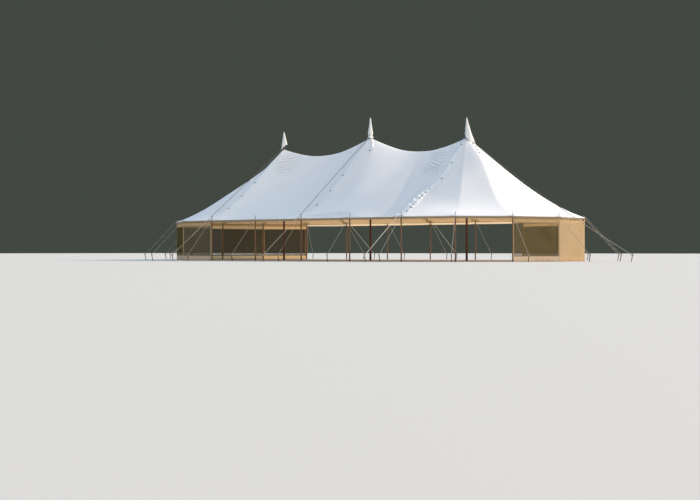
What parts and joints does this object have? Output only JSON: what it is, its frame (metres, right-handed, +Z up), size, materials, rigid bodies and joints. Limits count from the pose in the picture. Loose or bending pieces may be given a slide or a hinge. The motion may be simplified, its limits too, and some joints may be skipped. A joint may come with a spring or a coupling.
{
  "type": "round-ended pole marquee",
  "caption": "Round-ended pole marquee: a hollow-curved canvas roof on king and side poles, held by guy ropes and stakes, with windowed canvas walls round its ends.",
  "frame": {"origin": "on the ground under the middle king pole", "axes": "+X along the ridge to the right as seen from the front, +Y to the rear, +Z up"},
  "size_m": [30.461, 18.289, 7.79],
  "materials": {
    "roof_canvas": "proofed white cotton canvas, matt",
    "cap_canvas": "white canvas, matt",
    "wall_canvas": "sand-coloured canvas with a grey skirt, matt",
    "window_film": "clear flexible film, glossy",
    "king_pole_timber": "brown-stained timber, satin",
    "side_pole_timber": "brown-stained timber, satin",
    "rope": "laid natural-fibre rope, matt"
  },
  "bodies": {
    "root": {"roof_end_left": "roof_canvas", "roof_bay_left": "roof_canvas", "roof_bay_right": "roof_canvas", "roof_end_right": "roof_canvas", "king_pole_left": "king_pole_timber", "pole_cap_left": "cap_canvas", "king_pole_middle": "king_pole_timber", "pole_cap_middle": "cap_canvas", "king_pole_right": "king_pole_timber", "pole_cap_right": "cap_canvas", "side_pole_front_1": "side_pole_timber", "side_pole_front_2": "side_pole_timber", "side_pole_front_3": "side_pole_timber", "side_pole_front_4": "side_pole_timber", "side_pole_front_5": "side_pole_timber", "side_pole_right_1": "side_pole_timber", "side_pole_right_2": "side_pole_timber", "side_pole_right_3": "side_pole_timber", "side_pole_right_4": "side_pole_timber", "side_pole_right_5": "side_pole_timber", "side_pole_right_6": "side_pole_timber", "side_pole_rear_1": "side_pole_timber", "side_pole_rear_2": "side_pole_timber", "side_pole_rear_3": "side_pole_timber", "side_pole_rear_4": "side_pole_timber", "side_pole_rear_5": "side_pole_timber", "side_pole_left_1": "side_pole_timber", "side_pole_left_2": "side_pole_timber", "side_pole_left_3": "side_pole_timber", "side_pole_left_4": "side_pole_timber", "side_pole_left_5": "side_pole_timber", "side_pole_left_6": "side_pole_timber", "main_and_side_guy_front_1": "rope", "side_guy_front_2": "rope", "main_and_side_guy_front_3": "rope", "side_guy_front_4": "rope", "main_and_side_guy_front_5": "rope", "side_guy_right_1": "rope", "side_guy_right_2": "rope", "side_guy_right_3": "rope", "side_guy_right_4": "rope", "side_guy_right_5": "rope", "side_guy_right_6": "rope", "main_and_side_guy_rear_1": "rope", "side_guy_rear_2": "rope", "main_and_side_guy_rear_3": "rope", "side_guy_rear_4": "rope", "main_and_side_guy_rear_5": "rope", "side_guy_left_1": "rope", "side_guy_left_2": "rope", "side_guy_left_3": "rope", "side_guy_left_4": "rope", "side_guy_left_5": "rope", "side_guy_left_6": "rope", "end_main_guy_left": "rope", "wall_left": "wall_canvas", "wall_windows_left": "window_film", "end_main_guy_right": "rope", "wall_right": "wall_canvas", "wall_windows_right": "window_film"}
  },
  "joints": []
}
